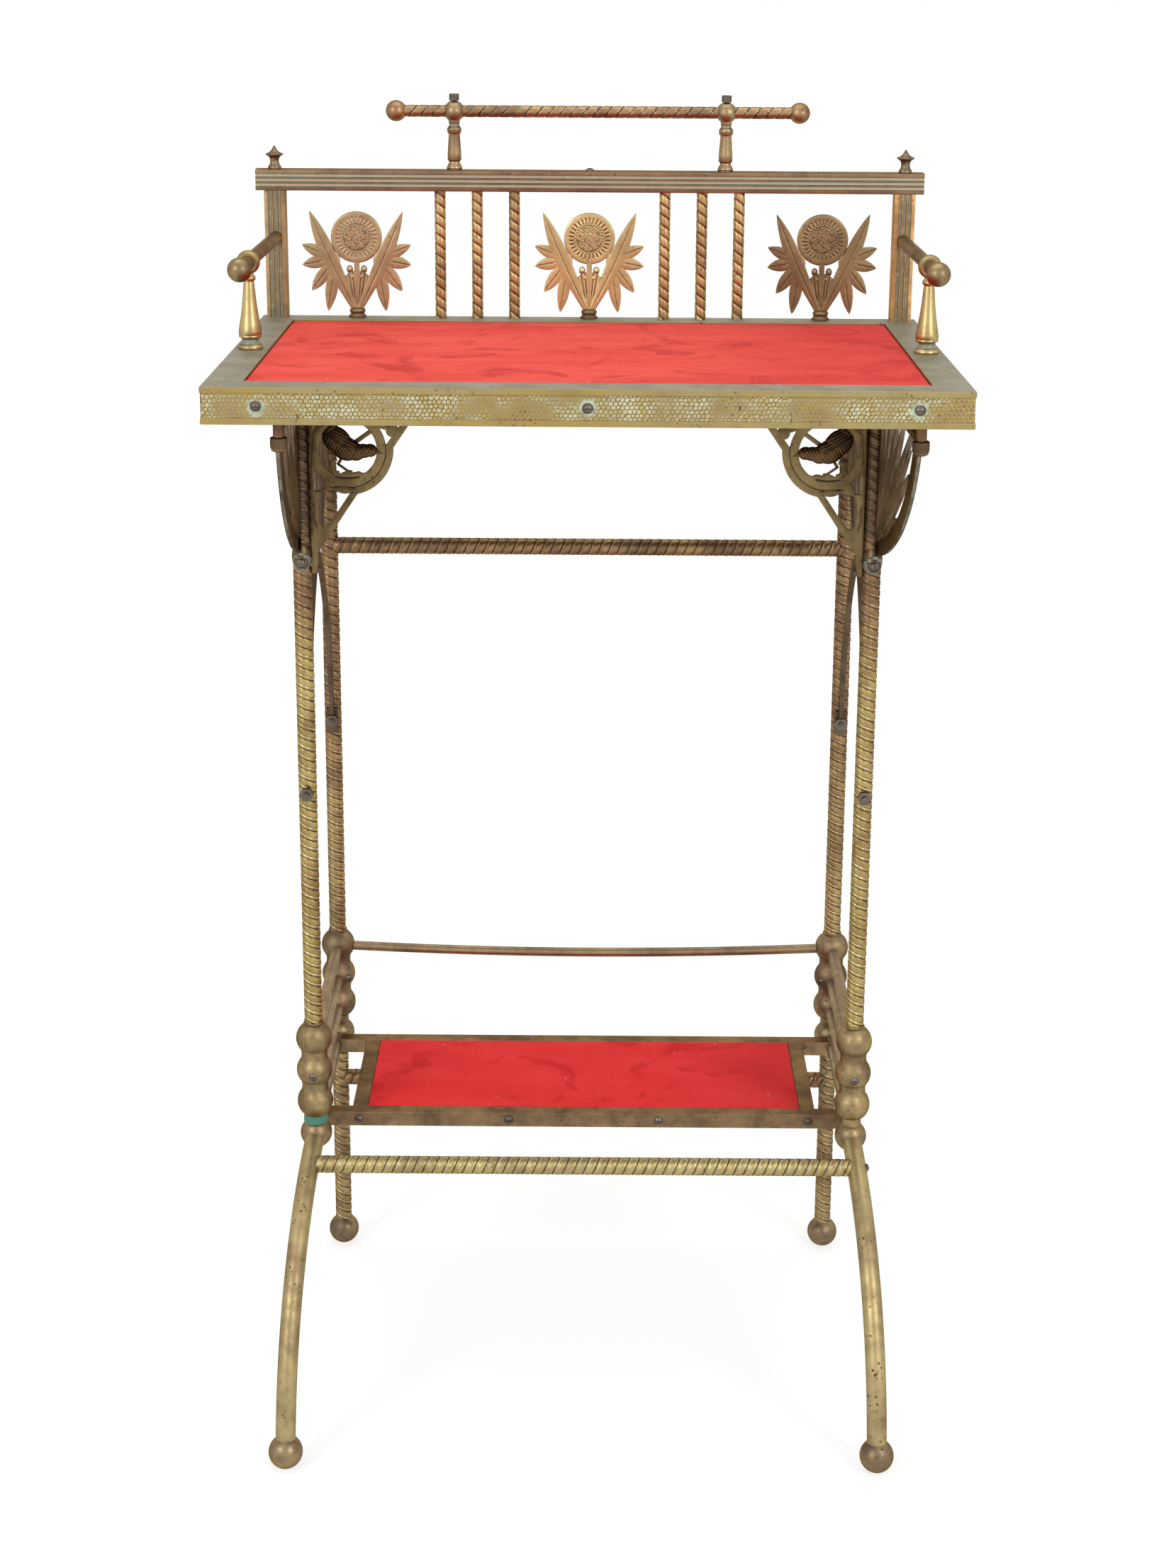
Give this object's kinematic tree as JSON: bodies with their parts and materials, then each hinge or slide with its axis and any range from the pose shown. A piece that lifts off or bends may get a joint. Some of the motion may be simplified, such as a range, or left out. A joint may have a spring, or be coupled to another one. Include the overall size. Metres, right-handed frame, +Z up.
{
  "type": "music stand",
  "caption": "Free-standing brass music stand: velvet table top with a back gallery, arms and a sliding top bar, on twisted legs with a low velvet shelf.",
  "frame": {"origin": "on the floor, under the middle of the whole stand's box", "axes": "+X to the right of someone facing the stand's front, +Y to its back, +Z up"},
  "size_m": [0.6152, 0.436, 1.1575],
  "materials": {
    "hammered_brass": "aged, hammered apron under a smooth grey-brown border",
    "twisted_brass": "aged, with a dark helical seam",
    "smooth_brass": "aged, smooth, spotted",
    "reeded_bronze": "aged, brown patina with verdigris in the flutes",
    "cast_bronze": "cast relief with brown patina",
    "dark_steel": "dull, oxidised",
    "red_velvet": "short-pile velvet",
    "board_wood": "stained softwood"
  },
  "bodies": {
    "stand": {"top_frame_front": "hammered_brass", "top_frame_back": "hammered_brass", "top_frame_left": "hammered_brass", "top_frame_right": "hammered_brass", "top_board": "board_wood", "top_velvet": "red_velvet", "apron_screws": "dark_steel", "gallery_post_left": "reeded_bronze", "gallery_post_right": "reeded_bronze", "gallery_rail": "reeded_bronze", "spindles_left": "twisted_brass", "spindles_right": "twisted_brass", "flower_left": "cast_bronze", "flower_middle": "cast_bronze", "flower_right": "cast_bronze", "flower_sockets": "smooth_brass", "finials": "smooth_brass", "bar_pillar_left": "smooth_brass", "bar_pillar_right": "smooth_brass", "clamp_screws": "dark_steel", "arm_baluster_left": "smooth_brass", "arm_baluster_right": "smooth_brass", "arm_tube_left": "smooth_brass", "arm_tube_right": "smooth_brass", "arm_balls": "smooth_brass", "front_leg_left": "twisted_brass", "front_leg_right": "twisted_brass", "rear_leg_left": "twisted_brass", "rear_leg_right": "twisted_brass", "front_stack_left": "smooth_brass", "front_stack_right": "smooth_brass", "rear_stack_left": "smooth_brass", "rear_stack_right": "smooth_brass", "knee_balls": "smooth_brass", "curved_leg_left": "smooth_brass", "curved_leg_right": "smooth_brass", "foot_balls": "smooth_brass", "side_rods_left": "smooth_brass", "side_rods_right": "smooth_brass", "thin_rear_rod": "smooth_brass", "stretcher_rear_upper": "twisted_brass", "stretcher_rear_lower": "twisted_brass", "stretcher_front": "twisted_brass", "shelf_bar_front": "reeded_bronze", "shelf_bar_rear": "reeded_bronze", "shelf_ends": "reeded_bronze", "shelf_board": "board_wood", "shelf_velvet": "red_velvet", "bird_bracket_left": "cast_bronze", "bird_bracket_right": "cast_bronze", "plume_bracket_left": "cast_bronze", "plume_bracket_right": "cast_bronze", "plume_hangers": "smooth_brass", "side_panel_left": "cast_bronze", "side_panel_right": "cast_bronze", "bracket_screws": "dark_steel", "panel_bolts": "dark_steel", "frame_screws": "dark_steel"},
    "sliding_bar": {"top_bar": "twisted_brass", "top_bar_balls": "smooth_brass"}
  },
  "joints": [
    {"name": "bar_slide", "type": "slide", "parent": "stand", "child": "sliding_bar", "axis": [1, 0, 0], "range_m": [-0.047, 0.033]}
  ]
}
